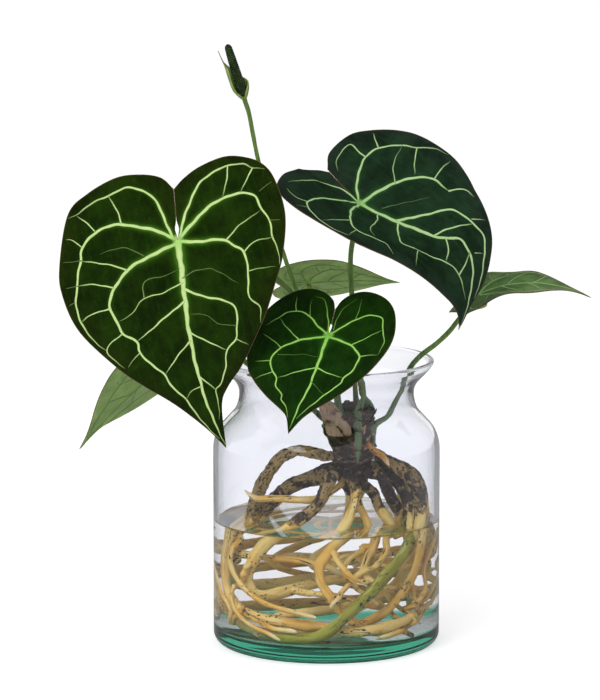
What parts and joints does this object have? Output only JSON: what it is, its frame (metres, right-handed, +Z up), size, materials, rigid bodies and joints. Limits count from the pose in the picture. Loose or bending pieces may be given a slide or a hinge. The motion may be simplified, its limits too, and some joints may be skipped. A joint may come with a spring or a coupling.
{
  "type": "anthurium in glass vase",
  "caption": "Rooted anthurium with heart-shaped, pale-veined leaves and a green flower spike, standing in a clear glass jar half filled with water.",
  "frame": {"origin": "middle of the vase's flat foot, on the surface it stands on", "axes": "+Z up along the vase's axis, -Y to the front where the two largest leaves face, +X to the right"},
  "size_m": [0.3481, 0.2044, 0.3976],
  "materials": {
    "vase_glass": "clear",
    "water": "clear",
    "crown_bark": "rough",
    "sheath_paper": "dry and papery",
    "leaf_olive": "satin",
    "leaf_slate_green": "satin",
    "leaf_young_green": "satin",
    "leaf_underside": "matt",
    "leaf_mid_green": "satin",
    "petiole_green": "satin",
    "spadix_green": "fine bumps",
    "spathe_green": "satin",
    "root_cream": "soft, wet",
    "root_brown": "rough, wet",
    "root_green": "smooth, wet",
    "root_orange": "smooth"
  },
  "bodies": {
    "root": {"aerial_root": "root_orange", "crown": "crown_bark", "flower_stalk": "petiole_green", "leaf_back": "leaf_underside", "leaf_back_left": "leaf_underside", "leaf_back_right": "leaf_mid_green", "leaf_front_left": "leaf_olive", "leaf_front_small": "leaf_young_green", "leaf_right": "leaf_slate_green", "petiole_back": "petiole_green", "petiole_back_left": "petiole_green", "petiole_back_right": "petiole_green", "petiole_front_left": "petiole_green", "petiole_front_small": "petiole_green", "petiole_right": "petiole_green", "root_01": "root_cream", "root_02": "root_brown", "root_03": "root_cream", "root_04": "root_brown", "root_05": "root_cream", "root_06": "root_green", "root_07": "root_brown", "root_08": "root_cream", "root_09": "root_cream", "root_10": "root_cream", "root_11": "root_cream", "root_12": "root_cream", "root_13": "root_cream", "root_14": "root_cream", "root_15": "root_cream", "sheath": "sheath_paper", "spadix": "spadix_green", "spathe": "spathe_green", "vase": "vase_glass", "water": "water"}
  },
  "joints": []
}
